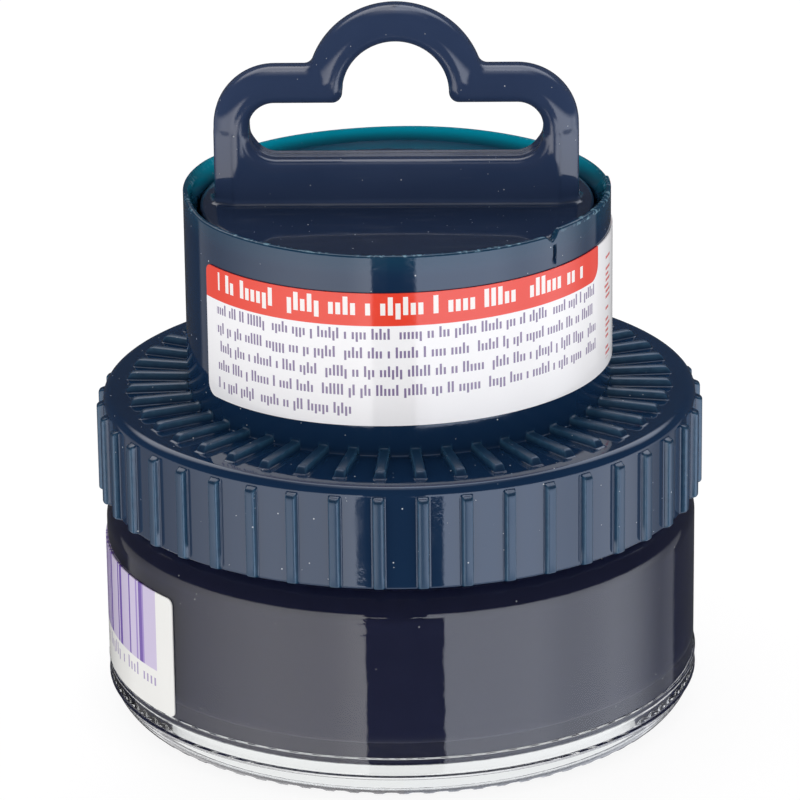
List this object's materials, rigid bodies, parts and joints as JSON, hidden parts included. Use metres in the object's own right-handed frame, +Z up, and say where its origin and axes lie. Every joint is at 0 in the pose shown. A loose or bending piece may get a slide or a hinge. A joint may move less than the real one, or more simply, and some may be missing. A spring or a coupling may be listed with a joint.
{
  "type": "shoe cream jar",
  "caption": "Screw-top glass jar of shoe cream with a ribbed cap whose well holds a pull-out sponge applicator; the applicator's cloud-shaped handle is also the hanger.",
  "frame": {"origin": "centre of the jar's foot ring, on the plane it rests on", "axes": "+Z up along the jar's axis, -Y towards the front of the closed jar, +X to the right along the hanger"},
  "size_m": [0.062, 0.062, 0.0737],
  "materials": {
    "glass": "clear soda-lime glass, fire polished",
    "cream": "dark navy wax cream, satin",
    "jar_paper": "coated label paper with violet print",
    "liner": "white expanded polyethylene",
    "cap_plastic": "injection moulded, glossy, dark teal navy",
    "cup_paper": "coated label paper with red band",
    "handle_plastic": "injection moulded, glossy, dark navy",
    "adhesive": "double-sided foam tape",
    "sponge": "open-cell foam, dark"
  },
  "bodies": {
    "jar": {"glass_jar": "glass", "shoe_cream": "cream", "jar_label": "jar_paper"},
    "liner": {"cap_liner": "liner"},
    "cap": {"screw_cap": "cap_plastic", "cup_label": "cup_paper"},
    "applicator": {"applicator_handle": "handle_plastic", "pad_adhesive": "adhesive", "sponge_pad": "sponge"}
  },
  "joints": [
    {"name": "cap_lift", "type": "slide", "parent": "jar", "child": "liner", "axis": [0, 0, 1], "range_m": [0, 0.00952]},
    {"name": "cap_turn", "type": "hinge", "parent": "liner", "child": "cap", "pos_m": [0, 0, 0.03225], "axis": [0, 0, 1], "range_deg": [0, 810]},
    {"name": "applicator_pull", "type": "slide", "parent": "cap", "child": "applicator", "axis": [0, 0, 1], "range_m": [0, 0.03]}
  ],
  "couplings": [
    {"joint": "cap_lift", "follows": "cap_turn", "m_per_rad": 0.00067322}
  ]
}
